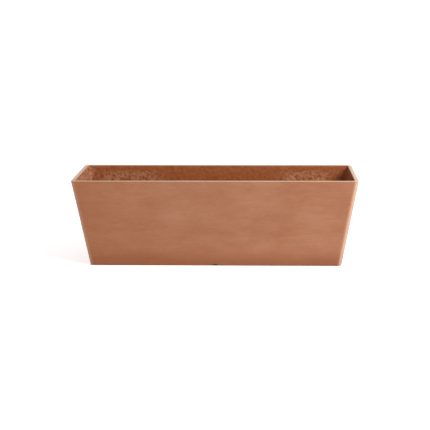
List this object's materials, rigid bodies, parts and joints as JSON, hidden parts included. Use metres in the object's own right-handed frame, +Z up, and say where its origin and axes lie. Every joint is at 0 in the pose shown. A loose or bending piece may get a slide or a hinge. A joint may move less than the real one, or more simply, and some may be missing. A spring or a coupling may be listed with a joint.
{
  "type": "self watering planter",
  "caption": "Long rectangular trough planter with leaning walls and a lift-out self-watering insert: perforated deck, wicking baskets, fill shaft with flip lid, float gauge and overflow.",
  "frame": {"origin": "middle of the footprint, on the ground", "axes": "+X along the trough, the front faces -Y, +Z up"},
  "size_m": [0.5994, 0.1894, 0.19],
  "materials": {
    "terracotta_composite": "matt stone-powder composite in a terracotta colour, wiped with a pale dusty wash",
    "black_polypropylene": "fine satin moulded texture",
    "grey_polypropylene": "satin moulded",
    "black_rubber": "matt",
    "stainless_steel": "drawn wire",
    "white_foam": "closed-cell foam",
    "red_plastic": "gloss",
    "clear_polystyrene": "clear gloss"
  },
  "bodies": {
    "trough": {"planter_shell": "terracotta_composite", "drain_grommet": "black_rubber", "overflow_standpipe": "grey_polypropylene"},
    "plug": {"drain_plug": "black_rubber"},
    "insert": {"reservoir_deck": "black_polypropylene", "deck_end": "black_polypropylene", "deck_pillar_1": "black_polypropylene", "deck_pillar_2": "black_polypropylene", "deck_pillar_3": "black_polypropylene", "deck_pillar_4": "black_polypropylene", "deck_pillar_5": "black_polypropylene", "deck_pillar_6": "black_polypropylene", "fill_shaft": "black_polypropylene", "lid_pin": "stainless_steel", "gauge_tube": "black_polypropylene", "gauge_dome": "clear_polystyrene"},
    "basket_1": {"wick_basket_1": "black_polypropylene"},
    "basket_2": {"wick_basket_2": "black_polypropylene"},
    "basket_3": {"wick_basket_3": "black_polypropylene"},
    "lid": {"fill_lid": "grey_polypropylene"},
    "float": {"gauge_float": "white_foam", "gauge_rod": "stainless_steel", "gauge_flag": "red_plastic"}
  },
  "joints": [
    {"name": "insert_lift", "type": "slide", "parent": "trough", "child": "insert", "axis": [0, 0, 1], "range_m": [0, 0.18]},
    {"name": "plug_pull", "type": "slide", "parent": "trough", "child": "plug", "axis": [0, 0, -1], "range_m": [0, 0.02]},
    {"name": "lid_hinge", "type": "hinge", "parent": "insert", "child": "lid", "pos_m": [0.26467, -0.03607, 0.1643], "axis": [0, 1, 0], "range_deg": [0, 110]},
    {"name": "float_rise", "type": "slide", "parent": "insert", "child": "float", "axis": [0, 0, 1], "range_m": [0, 0.0285]},
    {"name": "basket_1_lift", "type": "slide", "parent": "insert", "child": "basket_1", "axis": [0, 0, 1], "range_m": [0, 0.18]},
    {"name": "basket_2_lift", "type": "slide", "parent": "insert", "child": "basket_2", "axis": [0, 0, 1], "range_m": [0, 0.18]},
    {"name": "basket_3_lift", "type": "slide", "parent": "insert", "child": "basket_3", "axis": [0, 0, 1], "range_m": [0, 0.18]}
  ]
}
